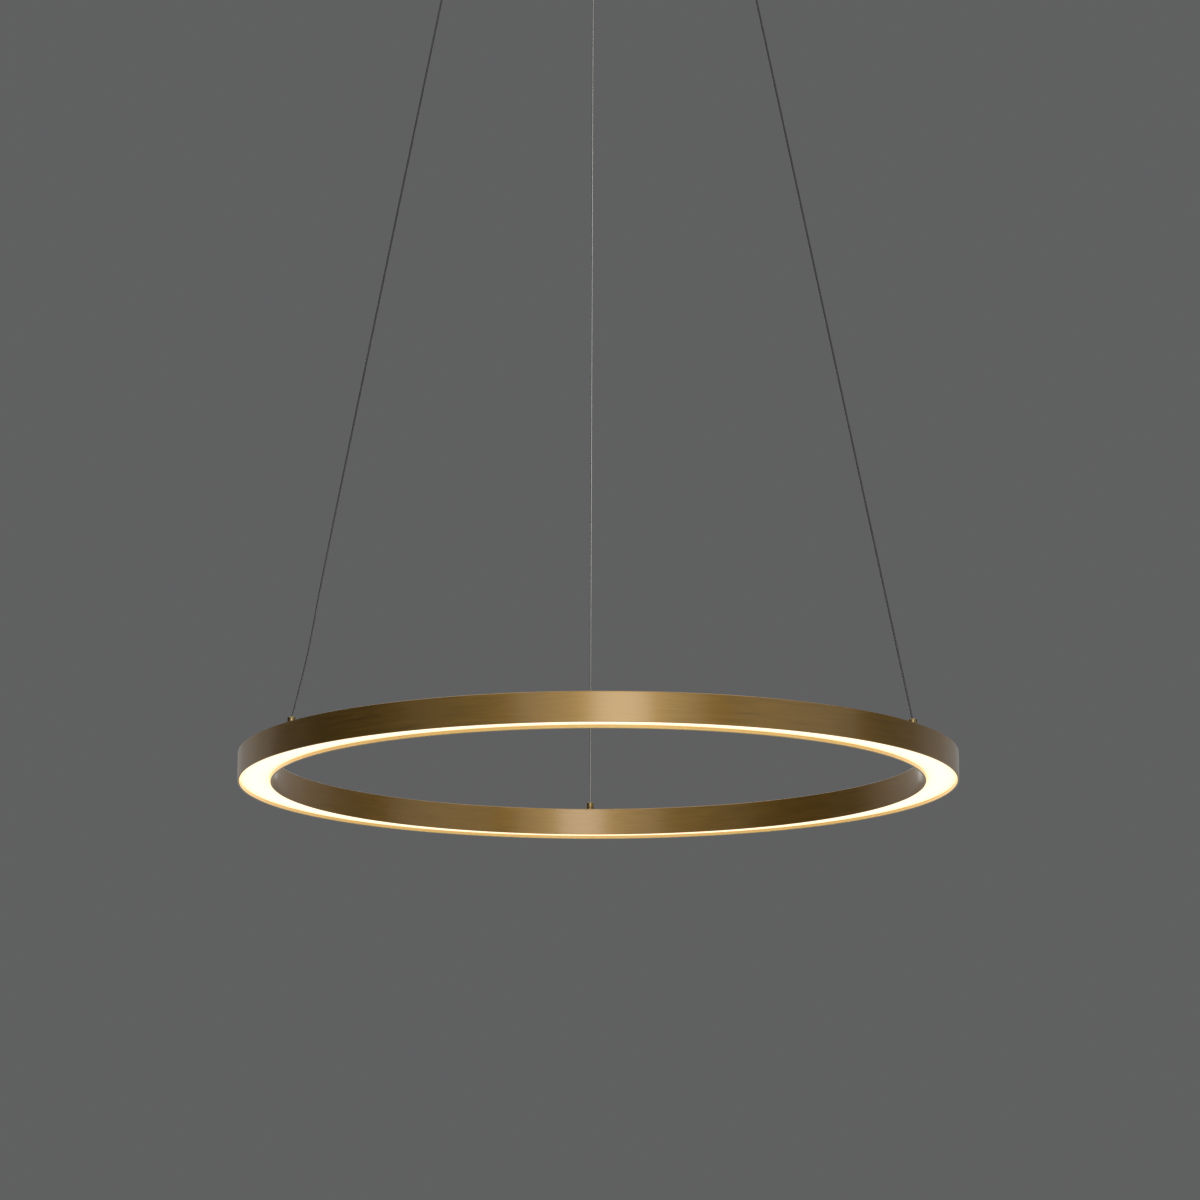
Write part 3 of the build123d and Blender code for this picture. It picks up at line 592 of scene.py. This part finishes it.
for number, (angle, bows) in enumerate(zip(HANGER_ANGLES, WIRE_BOWS), start=1):
    turned(f"nipple_{number}", nipple_section(), SMALL_SEGMENTS, "ring", "turned_brass",
           f"wire_nipple_{number}", outwards(angle) * RING_MIDDLE)
    followed, length = spaced(smooth_line("route", wire_route(angle, bows)))
    rope = stranded(f"wire_{number}", followed, length, outwards(angle + 90), f"suspension_wire_{number}")
    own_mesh(rope)
    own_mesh(nodes[f"gripper_spring_{number}"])


# Camera, below the ring and looking up at it

PHOTO_WIDTH_PIXELS = 1200.0
FOCAL_PIXELS = 3392.0
SENSOR_MM = 36.0
NEAREST_SEEN = 0.05
CAMERA_DISTANCE = 2.800
CAMERA_BELOW_RING = 0.4583
CAMERA_TURN = math.radians(1.51)
CAMERA_AIM = CAMERA_TURN + math.radians(0.034)
CAMERA_PITCH = math.radians(12.44)
CAMERA_ROLL = math.radians(0.1)

camera = add_object("camera", bpy.data.cameras.new("camera"))
camera.data.sensor_width = SENSOR_MM
camera.data.lens = FOCAL_PIXELS / PHOTO_WIDTH_PIXELS * SENSOR_MM
camera.data.clip_start = NEAREST_SEEN
camera.location = (-CAMERA_DISTANCE * math.sin(CAMERA_TURN), -CAMERA_DISTANCE * math.cos(CAMERA_TURN),
                   RING_BOTTOM - CAMERA_BELOW_RING)
ahead = Vector((math.sin(CAMERA_AIM) * math.cos(CAMERA_PITCH), math.cos(CAMERA_AIM) * math.cos(CAMERA_PITCH),
                math.sin(CAMERA_PITCH)))
camera.rotation_mode = "QUATERNION"
camera.rotation_quaternion = ahead.to_track_quat("-Z", "Y") @ Quaternion((0, 0, 1), -CAMERA_ROLL)
bpy.context.scene.camera = camera


# Floor, lamps, flags and background

SURROUND = (0.116, 0.117, 0.119)
MATT = 0.9
FLOOR = -2.7
FLOOR_REACH = 30.0
FLOOR_PAINT = (0.8, 0.8, 0.79)
FLOOR_GLOW = 0.2
LAMP_DISTANCE = 3.7
REAR_WIDTH = 1.1
REAR_FOOT = -1.1
REAR_TOP = 0.9
FLAG_DISTANCE = 4.2
FLAG_FOOT = -1.9
FLAG_TOP = 3.0

# The lamp overhead, a hair off the axis so that its turn is settled
TOP_PLACE = (0.0, 0.001, 8.0)
TOP_WIDTH = 14.0
TOP_RADIANCE = 0.9

# Lamps in front and right behind: degrees from the camera's side, distance, width, foot, top, radiance
FRONT_LAMPS = {
    "key_core": (5.0, 3.5, 1.0, -1.5, 0.1, 1.8),
    "key_wide": (2.0, LAMP_DISTANCE, 3.9, -2.1, 0.1, 0.5),
    "front_left": (-52.0, LAMP_DISTANCE, 2.4, -2.1, 0.1, 0.02),
    "front_right": (62.0, LAMP_DISTANCE, 3.0, -2.1, 0.1, 0.24),
}
BACK_LAMP = (180.0, LAMP_DISTANCE, 1.6, REAR_FOOT, 2.1, 0.9)

# Lamps at both sides behind: degrees from the camera's side, radiance
REAR_FADE = ((160.0, 0.17), (143.0, 0.13), (126.0, 0.08), (109.0, 0.03))

# Flags: degrees from the camera's side, width, shade of grey
FLAGS = {
    "flag_left": (-92.0, 5.0, 0.05),
    "flag_right": (94.0, 3.0, 0.15),
}


def around(azimuth, distance, height):
    """A place at an angle round the lamp's axis, counted from the camera's side to the right."""
    turn = math.radians(azimuth)
    return Vector((distance * math.sin(turn), -distance * math.cos(turn), height))


def studio_sheet(name, corners, material):
    """A flat sheet of the studio."""
    mesh = bpy.data.meshes.new(name)
    mesh.from_pydata(corners, [], [(0, 1, 2, 3)])
    mesh.materials.append(material)
    sheet = add_object(name, mesh)
    return sheet


def softbox(name, place, width, height, radiance):
    """A plain white area lamp that faces the ring and that the camera doesn't see."""
    data = bpy.data.lights.new(name, "AREA")
    data.shape = "RECTANGLE"
    data.size, data.size_y = width, height
    data.energy = radiance * math.pi * width * height
    lamp = add_object(name, data)
    lamp.location = place
    lamp.rotation_mode = "QUATERNION"
    lamp.rotation_quaternion = (Vector((0, 0, RING_TOP)) - Vector(place)).to_track_quat("-Z", "Y")
    lamp.visible_camera = False


def standing(name, azimuth, distance, width, foot, top, radiance):
    """A softbox on a stand, from one height to another."""
    softbox(name, around(azimuth, distance, (foot + top) / 2), width, top - foot, radiance)


def flag(name, azimuth, width, shade):
    """A dark cloth beside the set, which the ring's metal mirrors and the camera doesn't see."""
    aside = around(azimuth + 90, width / 2, 0)
    ends = ((-1, FLAG_FOOT), (1, FLAG_FOOT), (1, FLAG_TOP), (-1, FLAG_TOP))
    corners = [around(azimuth, FLAG_DISTANCE, height) + aside * end for end, height in ends]
    cloth = Shader(name, base_color=(shade, shade, shade, 1.0), roughness=MATT).material
    studio_sheet(name, corners, cloth).visible_camera = False


floor_paint = Shader("floor_paint", base_color=(*FLOOR_PAINT, 1.0), roughness=MATT,
                     emission_color=(*SURROUND, 1.0), emission_strength=FLOOR_GLOW).material
floor_corners = [(x * FLOOR_REACH, y * FLOOR_REACH, FLOOR) for x, y in ((-1, -1), (1, -1), (1, 1), (-1, 1))]
studio_sheet("floor", floor_corners, floor_paint)

for name, values in FRONT_LAMPS.items():
    standing(name, *values)
for number, (azimuth, radiance) in enumerate(REAR_FADE, start=1):
    for side, way in (("left", -1), ("right", 1)):
        standing(f"rear_{side}_{number}", way * azimuth, LAMP_DISTANCE, REAR_WIDTH, REAR_FOOT, REAR_TOP,
                 radiance)
standing("back", *BACK_LAMP)
softbox("top", TOP_PLACE, TOP_WIDTH, TOP_WIDTH, TOP_RADIANCE)
for name, values in FLAGS.items():
    flag(name, *values)

world = bpy.data.worlds.new("studio")
world.use_nodes = True
world.node_tree.nodes["Background"].inputs["Color"].default_value = (*SURROUND, 1.0)
bpy.context.scene.world = world
bpy.context.scene.view_settings.view_transform = "Standard"
